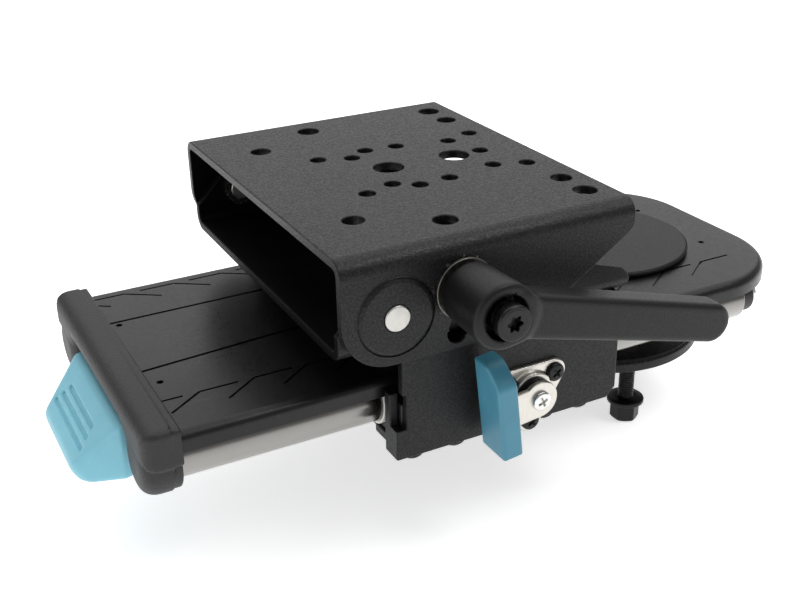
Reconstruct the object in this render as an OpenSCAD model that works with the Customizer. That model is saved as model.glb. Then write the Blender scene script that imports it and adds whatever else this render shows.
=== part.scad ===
// Pivoting slide arm with a tilting clevis head, for holding a computer on a post or bench.
// Frame: origin on the swivel axis at the underside of the round base plate,
// X along the arm (the head and the pull handle lie towards -X), Z up.

/* [Head] */
// Length of the tilting head along the arm
head_len = 101.6; // [100:0.2:104]
// Outer width of the tilting head
head_w = 131.8; // [131.4:0.2:132.4]
// Height of the head's folded side flanges
head_h = 35.3; // [35:0.1:36]
// Sheet thickness of the head, the clevis base and the carriage
sheet = 3; // [2.8:0.1:3]
// Height of the head's top face above the base plate's underside
head_top = 82; // [81.8:0.1:82.4]

/* [Arm] */
// Half the width of the arm's cover
cover_half_w = 53; // [52.6:0.1:53.4]
// Height of the cover's top face above the base plate's underside
cover_top = 35; // [34.8:0.1:35.1]
// How far the cover reaches past the swivel axis
cover_end = 53.5; // [53:0.5:55]
// Corner radius of the cover, seen from above, at its swivel end
cover_corner_r = 34; // [32:0.5:35]
// Radius of each guide rod
rod_r = 8; // [7.8:0.1:8]
// Distance of each guide rod from the arm's centre line
rod_y = 41.5; // [41.2:0.1:41.8]

/* [Base] */
// Radius of the round base plate
base_r = 40; // [38:0.5:42]
// Thickness of the base plate
base_t = 5; // [4.5:0.1:5]
// Bolt circle diameter of the base plate
base_pcd = 58.4; // [56:0.2:60]
// Radius of the base bolts
bolt_r = 3; // [2.8:0.1:3]

/* [Clamp] */
// Length of the clamp handle, from its axis to its tip
handle_len = 87; // [80:1:95]
// Angle of the clamp handle below the arm's direction
handle_drop = 15.6; // [10:0.2:16]

/* [Hidden] */
$fn = 64;
e = 0.01;                       // overlap that keeps cuts clean
run = 0.05;                     // radial clearance of a running fit
gap = 0.3;                      // clearance between faces that pass each other

// Head and its pivot
head_cx = -77.5;                // centre of the head's hole pattern
head_x0 = head_cx - 61.8;
head_x1 = head_x0 + head_len;
head_y = head_w / 2;
fold_r = 5.3;
pin_x = head_cx - 44.6;
pin_z = head_top - 19.9;
pin_r = 4.1;
boss_r = 12.4;
boss_t = 0.8;
nose_r = 16;                    // rounded front corner of the flanges
heel_x = head_cx + 0.5;         // where the flange's slanted end meets its lower edge
stud_dx = 22.3;                 // clamp stud, measured from the pin
stud_dz = 4.4;
stud_r = 3;
stud_x = pin_x + stud_dx;
stud_z = pin_z + stud_dz;
slot_r = 3.45;
slot_arc_r = sqrt(stud_dx * stud_dx + stud_dz * stud_dz);
slot_low = -26;                 // slot ends, as angles about the pin
slot_high = 24;

// Clevis base and carriage
wall_y = head_y - sheet - 0.5;  // outer face of the clevis base and of the carriage
deck_top = head_top - head_h + 2.3;     // top of the carriage's deck
floor_top = deck_top + sheet;
clevis_x0 = head_x0 + 0.3;
clevis_x1 = head_x1 + 2.2;
car_x0 = head_cx - 41.2;
car_x1 = head_cx + 39.3;
car_bottom = 10.7;
car_screw_x = head_cx + 17.6;
screw_dx = 35.2;                // spacing of the clevis screws along the arm
screw_y = 14.8;

// Arm
rod_z = 22.8;
cover_t = 2.5;
skirt_bottom = 28.8;
cover_fold = 3;
cap_x0 = -196.5;
cap_x1 = -184.5;
cover_x0 = cap_x1 - 2;
block_x0 = cap_x1 - 8.2;
block_bottom = 13;
end_block_x0 = 30.8;            // cross-piece that joins the rods' far ends
end_block_x1 = 36.3;
rod_x0 = block_x0 + 1.5;
rod_x1 = end_block_x0 - gap;    // shoulder of each rod, before its spigot
spigot_r = 4;
rod_screw_r = 2.5;
pull_z = 16;                    // height of the swivel lock's pull rod
pull_r = 2;
pull_x0 = -204;                 // front end of the pull rod, inside the handle
shoe_x0 = -34;                  // rear face of the brake shoe

// Swivel
post_r = 12;
collar_r = 3.6;                 // collar that holds each base bolt in the plate
snug = 0.02;                    // radial clearance of parts that stay together
post_top = cover_top + 0.5;
drum_r = 20;
housing_r = 27;
housing_in = drum_r + 1;
bush_r = 14;
web_z = 24.6;
disc_r = 33.3;

// Slide lock
lock_x = head_cx + 3.8;
lock_screw_r = 10.3;
lock_bore = 3.3;
bush_out = 9.1;                 // outer radius of the white rod bushings
lever_lean = 6.5;               // lean of the finger pad towards the head's front

// ---------- shared shapes ----------

// Cylinder along +Y that starts at y0
module y_cyl(r, y0, len, x = 0, z = 0) {
    translate([x, y0, z]) rotate([-90, 0, 0]) cylinder(r = r, h = len);
}

// Cylinder along +X that starts at x0
module x_cyl(r, x0, len, y = 0, z = 0) {
    translate([x0, y, z]) rotate([0, 90, 0]) cylinder(r = r, h = len);
}

// Box from its lowest and highest corners
module block(a, b) {
    translate(a) cube([b[0] - a[0], b[1] - a[1], b[2] - a[2]]);
}

// Copies its child on both sides of the arm
module both_sides() {
    children();
    mirror([0, 1, 0]) children();
}

// Outline of a channel turned over, with rounded folds, top edge at y = 0
module channel_outline(half_w, h, r) {
    translate([-half_w + r, -h]) square([2 * half_w - 2 * r, h]);
    translate([-half_w, -h]) square([2 * half_w, h - r]);
    for (s = [-1, 1]) translate([s * (half_w - r), -r]) circle(r = r);
}

// Folded sheet channel that runs along X, open below
module sheet_channel(x0, x1, half_w, top, h, t, r) {
    translate([x0, 0, top]) rotate([90, 0, 90]) linear_extrude(x1 - x0) difference() {
        channel_outline(half_w, h, r);
        translate([0, -t]) channel_outline(half_w - t, h, r - t);
    }
}

// Flat outline in the XZ plane, pulled along Y from y0 to y1
module side_extrude(y0, y1) {
    translate([0, y1, 0]) rotate([90, 0, 0]) linear_extrude(y1 - y0) children();
}

// Coil spring along +Z: a tube swept round a helix
module coil_spring(r, wire_r, len, turns, steps = 14, sides = 6) {
    n = turns * steps;
    rise = (len - 2 * wire_r) / n;
    points = [for (i = [0:n]) for (k = [0:sides - 1])
        let (a = 360 * i / steps, b = 360 * k / sides, q = r + wire_r * cos(b))
        [q * cos(a), q * sin(a), wire_r + i * rise + wire_r * sin(b)]];
    walls = [for (i = [0:n - 1]) for (k = [0:sides - 1])
        let (k2 = (k + 1) % sides)
        [i * sides + k, (i + 1) * sides + k, (i + 1) * sides + k2, i * sides + k2]];
    first = [[for (k = [0:sides - 1]) k]];
    last = [[for (k = [sides - 1:-1:0]) n * sides + k]];
    polyhedron(points, concat(walls, first, last));
}

// ---------- base: bolts to the post or bench ----------

module base_bolt_places() {
    for (k = [0:2]) rotate(-100 + 120 * k) translate([base_pcd / 2, 0, 0]) children();
}

module base_plate() {
    color("dimgray") difference() {
        union() {
            cylinder(r = base_r, h = base_t - 1);
            cylinder(r = base_r - 1, h = base_t);
        }
        base_bolt_places() translate([0, 0, -e]) cylinder(r = collar_r + snug, h = base_t + 1);
        translate([0, 0, -e]) cylinder(r = 4.1, h = base_t + 1);
        translate([0, 0, -e]) cylinder(r1 = 8.2, r2 = 4.1, h = 4.1);
    }
}

module base_bolts() {
    flange_z = -17.8;
    color("black") base_bolt_places() {
        translate([0, 0, flange_z]) cylinder(r = bolt_r, h = base_t - 0.5 - flange_z);
        cylinder(r = collar_r, h = base_t - 0.5);
        translate([0, 0, flange_z]) cylinder(r = 7, h = 1.6);
        translate([0, 0, flange_z - 1.2]) cylinder(r1 = 5.6, r2 = 6.4, h = 1.2);
        translate([0, 0, flange_z - 7.6]) cylinder(r = 5.6, h = 6.6, $fn = 6);
    }
}

module pivot_post() {
    color("silver") difference() {
        union() {
            translate([0, 0, base_t]) cylinder(r = 17, h = 3.3);
            translate([0, 0, base_t]) cylinder(r = post_r, h = post_top - base_t);
        }
        translate([0, 0, base_t - e]) cylinder(r = 4 + snug, h = 20);
    }
}

module post_screw() {
    color("silver") {
        translate([0, 0, 0.2]) cylinder(r1 = 7.9, r2 = 4, h = 3.9);
        cylinder(r = 4, h = 20);
    }
}

module brake_drum() {
    color("silver") translate([0, 0, base_t + 3.4]) difference() {
        cylinder(r = drum_r, h = 13.4);
        translate([0, 0, -e]) cylinder(r = post_r + snug, h = 14);
    }
}

module thrust_washer() {
    color("white") translate([0, 0, base_t]) difference() {
        cylinder(r = housing_r, h = 3.3);
        translate([0, 0, -e]) cylinder(r = housing_in, h = 4);
    }
}

module hub_disc() {
    color("dimgray") translate([0, 0, post_top]) {
        cylinder(r = disc_r, h = 1.4);
        cylinder(r = disc_r - 0.5, h = 1.9);
    }
}

// ---------- arm ----------

// Plan of the cover, drawn in by d all round, rounded at the swivel end
module cover_plan(d, x0) {
    r = cover_corner_r - d;
    x1 = cover_end - d;
    y1 = cover_half_w - d;
    translate([x0, -y1]) square([x1 - r - x0, 2 * y1]);
    translate([x0, -y1 + r]) square([x1 - x0, 2 * (y1 - r)]);
    for (s = [-1, 1]) translate([x1 - r, s * (y1 - r)]) circle(r = r);
}

// Bent mark pressed into the cover, its corner at (x, y): a leg along the arm and a slanted leg
module chevron(x, y, straight, slant) {
    depth = 0.5;
    w = 0.9;
    translate([x, y, cover_top - depth]) {
        rotate(straight) translate([0, -w / 2, 0]) cube([12.5, w, 1]);
        rotate(slant) translate([0, -w / 2, 0]) cube([13.8, w, 1]);
    }
}

module cover_marks() {
    groove_w = 1.2;
    groove_z = cover_top - 0.8;
    translate([cap_x1 - 1, 25.4, groove_z]) cube([145, groove_w, 1]);
    translate([cap_x1 - 1, -12.6, groove_z]) rotate(4.6) cube([100, groove_w, 1]);
    for (k = [-1:11]) chevron(head_cx - 94.5 + 17.7 * k, -32.5, 0, 216);
    for (k = [-1:9]) chevron(head_cx - 95.6 + 18.2 * k, 47, 180, -34);
    for (p = [[-181.3, 23.4], [-180.7, -21], [35.2, -18.1], [35.2, 20.6]])
        translate([p[0], p[1], cover_top - 4]) cylinder(r = 1.1, h = 6);
}

module arm_cover() {
    f = cover_fold;
    yc = cover_half_w - cover_corner_r;
    xc = cover_end - cover_corner_r;
    color("dimgray") difference() {
        union() {
            translate([0, 0, skirt_bottom]) linear_extrude(cover_top - f - skirt_bottom)
                cover_plan(0, cover_x0);
            translate([0, 0, skirt_bottom]) linear_extrude(cover_top - skirt_bottom)
                cover_plan(f, cover_x0);
            both_sides() {
                x_cyl(f, cover_x0, xc - cover_x0, cover_half_w - f, cover_top - f);
                translate([xc, yc, cover_top - f]) rotate_extrude(angle = 90)
                    translate([cover_corner_r - f, 0]) circle(r = f);
            }
            y_cyl(f, -yc, 2 * yc, cover_end - f, cover_top - f);
        }
        translate([0, 0, skirt_bottom - 1]) linear_extrude(cover_top - cover_t - skirt_bottom + 1)
            cover_plan(cover_t, cover_x0 - 1);
        translate([0, 0, skirt_bottom]) cylinder(r = post_r + 0.5, h = 10);
        both_sides() x_cyl(rod_r + gap, 0, rod_x1 + gap, rod_y, rod_z);
        cover_marks();
    }
}

module hub_housing() {
    color("dimgray") difference() {
        translate([0, 0, 8.6]) cylinder(r = housing_r, h = cover_top - cover_t - 8.6);
        translate([0, 0, 8]) cylinder(r = housing_in, h = web_z - 8);
        translate([0, 0, 20]) cylinder(r = bush_r, h = 20);
        block([-housing_r - 1, -5, 10], [-10, 5, 22]);
    }
}

module hub_bushing() {
    color("peru") translate([0, 0, web_z]) difference() {
        cylinder(r = bush_r, h = cover_top - cover_t - web_z);
        translate([0, 0, -e]) cylinder(r = post_r + run, h = 10);
    }
}

module front_block() {
    color("dimgray") difference() {
        intersection() {
            block([block_x0, -50.3, block_bottom], [cover_x0 + 1.8, 50.3, 32.3]);
            rotate([90, 0, 90]) translate([0, 0, block_x0]) linear_extrude(20) {
                cap_outline(2.6);
                translate([-29, block_bottom]) square([58, 15]);
            }
        }
        both_sides() x_cyl(rod_r + snug, rod_x0, 20, rod_y, rod_z);
        both_sides() x_cyl(rod_screw_r + snug, block_x0 - 1, 5, rod_y, rod_z);
        x_cyl(pull_r + gap, block_x0 - 1, 12, 0, pull_z);
    }
}

module end_block() {
    lobe_r = 6.4;
    color("black") difference() {
        union() {
            both_sides() x_cyl(lobe_r, end_block_x0, end_block_x1 - end_block_x0, rod_y, rod_z);
            block([end_block_x0, -rod_y, rod_z - lobe_r], [end_block_x1, rod_y, 32.3]);
        }
        both_sides() x_cyl(spigot_r + snug, end_block_x0 - 1, 8, rod_y, rod_z);
    }
}

// Outline of the end cap across the arm: a bar with a rounded lobe round each rod
module cap_outline(d) {
    top = cover_top + 3 - d;
    half = cover_half_w + 1.7 - d;
    r = 6 - d;
    lobe = 11 - d;
    translate([-half + r, rod_z]) square([2 * (half - r), top - rod_z]);
    translate([-half, rod_z]) square([2 * half, top - rod_z - r]);
    for (s = [-1, 1]) {
        translate([s * (half - r), top - r]) circle(r = r);
        translate([s * rod_y, rod_z]) circle(r = lobe);
    }
    translate([-rod_y, rod_z - 5 + d]) square([2 * rod_y, 6]);
}

// The end cap's soft outer form: stacked slices that round off towards the front face
module cap_form() {
    steps = 6;
    round_r = 5;
    rotate([90, 0, 90]) {
        translate([0, 0, cap_x0 + round_r]) linear_extrude(cap_x1 - cap_x0 - round_r)
            cap_outline(0);
        for (k = [0:steps - 1])
            let (a = 90 * k / steps, b = 90 * (k + 1) / steps)
            translate([0, 0, cap_x0 + round_r * (1 - sin(b))])
                linear_extrude(round_r * (sin(b) - sin(a)) + e)
                    cap_outline(round_r * (1 - cos(a)));
    }
}

module end_cap() {
    notch_half = 31;
    notch_top = 28.3;
    color("dimgray") difference() {
        cap_form();
        block([block_x0 - 0.3, -50.8, 0], [cap_x1 + 1, 50.8, cover_top - 2]);
        block([cover_x0 - 0.3, -cover_half_w, 0], [cap_x1 + 1, cover_half_w, cover_top]);
        block([cap_x0 - 5, -notch_half, 0], [cap_x1 + 1, notch_half, notch_top]);
    }
}

module rod(side) {
    spigot_end = end_block_x1 - 0.3;
    bore = rod_screw_r + snug;
    color("silver") difference() {
        union() {
            x_cyl(rod_r, rod_x0, rod_x1 - rod_x0, side * rod_y, rod_z);
            x_cyl(spigot_r, rod_x1 - 1, spigot_end - rod_x1 + 1, side * rod_y, rod_z);
        }
        x_cyl(bore, rod_x0 - 1, 9, side * rod_y, rod_z);
        x_cyl(bore, spigot_end - 9, 10, side * rod_y, rod_z);
    }
}

module near_rod() { rod(-1); }

module far_rod() { rod(1); }

module rod_screws() {
    color("silver") both_sides() {
        x_cyl(rod_screw_r, block_x0, 8, rod_y, rod_z);
        x_cyl(4.2, block_x0 - 0.25, 0.25, rod_y, rod_z);
        x_cyl(rod_screw_r, end_block_x1 - 8, 8.5, rod_y, rod_z);
        x_cyl(4.6, end_block_x1, 2.4, rod_y, rod_z);
    }
}

module spring_bracket() {
    color("silver") difference() {
        union() {
            block([-52, -9, 12], [-50, 9, cover_top - cover_t]);
            block([-52, -9, cover_top - cover_t - 2], [-40, 9, cover_top - cover_t]);
        }
        x_cyl(pull_r + gap, -53, 4, 0, pull_z);
    }
}

// ---------- swivel lock: pull handle, rod and brake shoe ----------

// One rounded edge of the pull handle's wedge: a ball on each side
module wedge_edge(x, half, z, r) {
    for (s = [-1, 1]) translate([x, s * (half - r), z]) sphere(r = r, $fn = 32);
}

// Wedge of the pull handle: its front face slants down from the end cap to a blunt edge
module handle_wedge() {
    hull() {
        wedge_edge(-196.1, 27.8, 26, 1);
        wedge_edge(-194.9, 27.8, 26, 1);
        wedge_edge(-194.9, 28, 9.6, 1);
        wedge_edge(-209.4, 18.8, 11.5, 1.8);
        wedge_edge(-207.1, 20, 8, 1.8);
    }
}

module pivot_handle() {
    groove_pitch = 3.6;
    color("skyblue") difference() {
        union() {
            handle_wedge();
            block([cap_x0 + 2, -26, 12], [block_x0 - 0.8, 26, 26]);
        }
        translate([-204, 0, 19.4]) rotate([0, -45, 0]) for (k = [-1:1])
            translate([k * groove_pitch, 0, 0]) cube([1.1, 34 + 4 * k, 1.2], center = true);
        x_cyl(pull_r + 0.02, pull_x0, 20, 0, pull_z);
    }
}

module pull_rod() {
    color("silver") x_cyl(pull_r, pull_x0, shoe_x0 + 4 - pull_x0, 0, pull_z);
}

module brake_shoe() {
    color("dimgray") difference() {
        block([shoe_x0, -4.5, 11], [-18, 4.5, 21]);
        translate([0, 0, 5]) cylinder(r = drum_r + gap, h = 30);
        x_cyl(pull_r + 0.02, shoe_x0 - 1, 5, 0, pull_z);
    }
}

module release_spring() {
    color("silver") translate([-49.9, 0, pull_z]) rotate([0, 90, 0]) coil_spring(3.2, 0.5, 15.8, 6);
}

// ---------- carriage ----------

module carriage_bracket() {
    h = deck_top - car_bottom;
    lip = 19.4;
    tab_y = wall_y - 8;
    color("dimgray") difference() {
        union() {
            sheet_channel(car_x0, car_x1, wall_y, deck_top, h, sheet, 4.5);
            both_sides() {
                block([car_x0, wall_y - lip, car_bottom], [car_x1, wall_y - 1, car_bottom + sheet]);
                block([car_x0 - 2.2, tab_y, car_bottom], [car_x0 + 0.8, wall_y, 32]);
            }
            y_cyl(5, -wall_y, sheet, lock_x, rod_z - lock_screw_r);
        }
        both_sides() {
            block([car_x0 - 3, wall_y - 4.5, 21.2], [car_x0 + 1.4, wall_y + 1, 33]);
            translate([car_x1, 0, car_bottom]) rotate([0, 45, 0])
                cube([4.6, 200, 4.6], center = true);
        }
        y_cyl(lock_bore + 1.5, -wall_y - 1, 6, lock_x, rod_z);
        clevis_screw_places() cylinder(r = 3.2, h = 20, center = true);
    }
}

// Plastic block that carries the bushings of one rod: it sits on the carriage's lower lip
module bearing_block(side) {
    lip_y = wall_y - 19.4 - gap;
    for (x = [[car_x0 + 1, car_x0 + 26.5], [head_cx - 2, head_cx + 31]])
        scale([1, side, 1]) difference() {
            union() {
                block([x[0], 30, car_bottom + sheet], [x[1], wall_y - sheet, 28.2]);
                block([x[0], 30, car_bottom + 0.8], [x[1], lip_y, 28.2]);
            }
            x_cyl(bush_out + snug, x[0] - 1, 40, rod_y, rod_z);
            block([x[0] - 1, rod_y - 8.4, rod_z + 5], [x[1] + 1, rod_y + 8.4, 40]);
            if (side < 0) y_cyl(lock_bore + 1, wall_y - 20, 20, lock_x, rod_z);
            screw_places() cylinder(r = 1.9, h = 8);
        }
}

module near_bearing_block() { color("black") bearing_block(-1); }

module far_bearing_block() { color("black") bearing_block(1); }

// White liners round the rods, open at the top to pass under the cover
module rod_bushings() {
    spans = [[car_x0 - 0.3, 26.6], [head_cx + 9.5, 21.4]];
    color("white") both_sides() for (s = spans) difference() {
        x_cyl(bush_out, s[0], s[1], rod_y, rod_z);
        x_cyl(rod_r + run, s[0] - 1, s[1] + 2, rod_y, rod_z);
        block([s[0] - 1, rod_y - 12, rod_z + 5], [s[0] + s[1] + 1, rod_y + 12, 40]);
    }
}

module screw_places() {
    for (x = [-35.9, -20.8, 13, 27]) both_sides()
        translate([head_cx + x, wall_y - 5, car_bottom + sheet - e]) children();
}

module bearing_screws() {
    color("black") screw_places() {
        translate([0, 0, -sheet - 1.4]) cylinder(r = 3.9, h = 1.4);
        translate([0, 0, -sheet - 2.7]) cylinder(r1 = 2.4, r2 = 3.9, h = 1.3);
        translate([0, 0, e]) cylinder(r = 1.88, h = 7);
    }
}

// ---------- clevis base ----------

module clevis_screw_places() {
    for (x = [car_screw_x - screw_dx, car_screw_x], y = [-screw_y, screw_y])
        translate([x, y, floor_top]) children();
}

// Side outline of the clevis base's upright walls
module clevis_side() {
    polygon([[clevis_x0, deck_top], [clevis_x0, pin_z - 4.4], [pin_x - 8, pin_z + 5.1],
        [pin_x - 2.5, pin_z + 10.4], [stud_x, pin_z + 10.4], [pin_x + 71.5, pin_z - 0.6],
        [pin_x + 83.5, pin_z - 4.4], [clevis_x1 - 1.2, pin_z - 6.2], [clevis_x1, pin_z - 8.6],
        [clevis_x1, deck_top]]);
}

module clevis_base() {
    color("dimgray") difference() {
        intersection() {
            translate([0, 0, 2 * deck_top]) mirror([0, 0, 1])
                sheet_channel(clevis_x0, clevis_x1, wall_y, deck_top, 30, sheet, 5.3);
            side_extrude(-80, 80) clevis_side();
        }
        both_sides() y_cyl(pin_r + 0.02, wall_y - 5, 10, pin_x, pin_z);
        y_cyl(stud_r + 0.02, -wall_y - 1, 6, stud_x, stud_z);
        clevis_screw_places() cylinder(r = 3.2, h = 20, center = true);
    }
}

module clevis_screws() {
    color("silver") clevis_screw_places() difference() {
        union() {
            cylinder(r = 5.2, h = 1.6);
            translate([0, 0, 1.6]) cylinder(r1 = 5.2, r2 = 3.4, h = 1.4);
            translate([0, 0, -11.5]) cylinder(r = 3, h = 12);
        }
        translate([0, 0, 1.2]) cylinder(r = 2, h = 3, $fn = 6);
    }
}

module clevis_nuts() {
    color("silver") clevis_screw_places() translate([0, 0, -2 * sheet - 5]) difference() {
        cylinder(r = 5.8, h = 5, $fn = 6);
        translate([0, 0, -e]) cylinder(r = 3.02, h = 6);
    }
}

module pivot_pin() {
    y_cyl(pin_r, wall_y - sheet - 1.4, sheet * 2 + 2.4 + boss_t, pin_x, pin_z);
}

module near_pivot_pin() { color("silver") mirror([0, 1, 0]) pivot_pin(); }

module far_pivot_pin() { color("silver") pivot_pin(); }

module pin_washers() {
    color("silver") both_sides() difference() {
        y_cyl(6.2, wall_y - sheet - 1.2, 1.2, pin_x, pin_z);
        y_cyl(pin_r + 0.02, wall_y - sheet - 2, 3, pin_x, pin_z);
    }
}

module clamp_stud() {
    head_y0 = -wall_y + sheet;
    color("silver") {
        y_cyl(stud_r, -73.4, 73.4 + head_y0 + 0.5, stud_x, stud_z);
        translate([stud_x, head_y0, stud_z]) rotate([-90, 0, 0]) cylinder(r = 5.8, h = 2.4, $fn = 6);
    }
}

module clamp_washer() {
    color("silver") difference() {
        y_cyl(9.7, -head_y - 1.5, 1.2, stud_x, stud_z);
        y_cyl(stud_r + 0.02, -head_y - 2, 3, stud_x, stud_z);
    }
}

// ---------- tilting head ----------

// Side outline of the head: rounded nose below the pin, slanted at the rear
module head_side() {
    bottom = head_top - head_h;
    nose_x = head_x0 + nose_r;
    polygon([[head_x0, head_top], [head_x0, bottom + nose_r], [nose_x, bottom + nose_r],
        [nose_x, bottom], [heel_x, bottom], [heel_x + 24.1, bottom + 16.1],
        [head_x1 - 2, head_top - 10.5], [head_x1 - 0.5, head_top - 9],
        [head_x1, head_top - 7.2], [head_x1, head_top]]);
    translate([nose_x, bottom + nose_r]) circle(r = nose_r);
}

// One hole of the top face, at (x, y) from the pattern's centre
module top_hole(x, y, r) {
    translate([head_cx + x, y, head_top - 6]) cylinder(r = r, h = 12);
}

module top_holes() {
    small = 2.75;
    for (s = [-1, 1]) {
        top_hole(12.7 * s, 0, 5.2);
        top_hole(0, 19.05 * s, small);
        for (t = [-1, 1]) {
            top_hole(19.05 * s, 15.09 * t, small);
            top_hole(30.08 * s, 19.05 * t, small);
            top_hole(-6.35 + 37.5 * s, 37.5 * t, 3.5);
            top_hole(5.55 + 25.4 * s, 50.8 * t, 3.9);
        }
    }
    for (a = [0, 120, 240]) top_hole(23.2 * cos(a), 23.2 * sin(a), small);
}

// Arc-shaped slot that the clamp stud passes through as the head tilts
module clamp_slot() {
    translate([pin_x, -head_y - 2, pin_z]) rotate([-90, 0, 0]) {
        rotate(-slot_high) rotate_extrude(angle = slot_high - slot_low)
            translate([slot_arc_r - slot_r, 0]) square([2 * slot_r, 6]);
        for (a = [slot_low, slot_high]) rotate(-a) translate([slot_arc_r, 0, 0])
            cylinder(r = slot_r - 0.02, h = 6);
    }
}

module head_channel() {
    color("dimgray") difference() {
        union() {
            intersection() {
                sheet_channel(head_x0, head_x1, head_y, head_top, head_h + 1, sheet, fold_r);
                side_extrude(-80, 80) head_side();
            }
            both_sides() {
                y_cyl(boss_r, head_y - 1, 1 + e, pin_x, pin_z);
                translate([pin_x, head_y, pin_z]) rotate([-90, 0, 0])
                    cylinder(r1 = boss_r, r2 = boss_r - 1.4, h = boss_t);
            }
        }
        top_holes();
        both_sides() y_cyl(pin_r + run, head_y - 5, 10, pin_x, pin_z);
        clamp_slot();
    }
}

// ---------- clamp handle ----------

module clamp_insert() {
    color("silver") difference() {
        union() {
            y_cyl(6.5, -77.6, 10, stud_x, stud_z);
            y_cyl(7.6, -68.1, 0.5, stud_x, stud_z);
        }
        y_cyl(stud_r + run, -73.6, 10, stud_x, stud_z);
        y_cyl(2.52, -78, 5, stud_x, stud_z);
    }
}

module clamp_screw() {
    color("black") difference() {
        union() {
            y_cyl(2.5, -90, 16.2, stud_x, stud_z);
            y_cyl(5.4, -93, 3.4, stud_x, stud_z);
            y_cyl(4.9, -93.6, 1, stud_x, stud_z);
        }
        translate([stud_x, -91.6, stud_z]) rotate([90, 0, 0]) for (k = [0:2])
            rotate(60 * k + 15) translate([-2.5, -0.75, 0]) cube([5, 1.5, 4]);
    }
}

// The handle's bar: a bevelled bar with a round tip
module handle_bar() {
    reach = handle_len - 6.4;
    translate([stud_x, -89.4, stud_z]) rotate([0, handle_drop, 0]) rotate([-90, 0, 0]) hull() {
        for (p = [[6, 6.9], [reach, 6.4]]) {
            translate([p[0], 0, 1.4]) cylinder(r = p[1], h = 7.4, $fn = 32);
            translate([p[0], 0, 0]) cylinder(r = p[1] - 1.4, h = 10.2, $fn = 32);
        }
    }
}

module clamp_handle() {
    color("dimgray") difference() {
        union() {
            y_cyl(9.5, -88.4, 19, stud_x, stud_z);
            translate([stud_x, -88.6, stud_z]) rotate([-90, 0, 0])
                cylinder(r1 = 10.2, r2 = 9.5, h = 14);
            y_cyl(9.4, -89.4, 2, stud_x, stud_z);
            handle_bar();
        }
        y_cyl(6.5 + run, -78, 12, stud_x, stud_z);
        y_cyl(2.5 + gap, -85, 10, stud_x, stud_z);
        y_cyl(6.85, -95, 12.5, stud_x, stud_z);
    }
}

module handle_spring() {
    color("silver") translate([stud_x, -82.5, stud_z]) rotate([90, 0, 0])
        coil_spring(4.2, 0.45, 7, 4);
}

// ---------- slide lock ----------

module flange_screw_places() {
    for (a = [30, 150, 270])
        translate([lock_x + lock_screw_r * cos(a), -wall_y, rod_z + lock_screw_r * sin(a)])
            rotate([90, 0, 0]) children();
}

module lock_flange() {
    flange_t = 1.8;
    color("silver") difference() {
        union() {
            y_cyl(8.6, -wall_y - flange_t, flange_t, lock_x, rod_z);
            y_cyl(7.6, -wall_y - 3.8, 3.8, lock_x, rod_z);
            flange_screw_places() cylinder(r = 4.3, h = flange_t);
            side_extrude(-wall_y - flange_t, -wall_y) for (k = [0:2])
                translate([lock_x, rod_z]) rotate(120 * k + 90)
                    polygon([[4.3, 8.92], [-lock_screw_r, 0], [-4.3, 8.92 - lock_screw_r]]);
        }
        y_cyl(lock_bore, -wall_y - 5, 8, lock_x, rod_z);
        flange_screw_places() translate([0, 0, -1]) cylinder(r = 1.6, h = 4);
        flange_screw_places() translate([0, 0, flange_t]) cylinder(r = 3.2 + snug, h = 4);
    }
}

module lock_flange_screws() {
    color("black") flange_screw_places() difference() {
        union() {
            translate([0, 0, 1.8]) cylinder(r = 3.2, h = 1.1);
            translate([0, 0, 2.9]) cylinder(r1 = 3.2, r2 = 2.3, h = 0.6);
            cylinder(r = 1.58, h = 2);
        }
        for (k = [0, 90]) rotate(k + 20) translate([-1.6, -0.35, 2.6]) cube([3.2, 0.7, 2]);
    }
}

module lock_plunger() {
    color("silver") {
        y_cyl(3, -61.5, 11.6, lock_x, rod_z);
        y_cyl(4.1, -52.2, 1.2, lock_x, rod_z);
    }
}

module lock_spring() {
    color("silver") translate([lock_x, -52.3, rod_z]) rotate([90, 0, 0])
        coil_spring(3.7, 0.3, 9.9, 6);
}

module lever_shaft() {
    color("silver") {
        y_cyl(lock_bore - run, -68.4, 4, lock_x, rod_z);
        y_cyl(6.2, -68.4, 1.9, lock_x, rod_z);
    }
}

// Frame of the lever's leaning parts: origin on the lever's axis, Z along the finger pad
module lever_frame() {
    translate([lock_x, 0, rod_z]) rotate([0, -lever_lean, 0]) children();
}

module lever_plate() {
    color("silver") difference() {
        union() {
            y_cyl(6.3, -70, 1.5, lock_x, rod_z);
            lever_frame() block([-17, -70, -6.3], [0, -68.5, 5]);
        }
        y_cyl(1.55, -71, 4, lock_x, rod_z);
    }
}

module lever_screw() {
    color("silver") difference() {
        union() {
            y_cyl(1.52, -70, 1.6, lock_x, rod_z);
            y_cyl(3.3, -71, 1, lock_x, rod_z);
            y_cyl(2.7, -71.6, 1, lock_x, rod_z);
        }
        translate([lock_x, -70.8, rod_z]) rotate([90, 0, 0]) for (k = [0, 90])
            rotate(k + 25) translate([-1.8, -0.4, 0]) cube([3.6, 0.8, 2]);
    }
}

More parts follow.
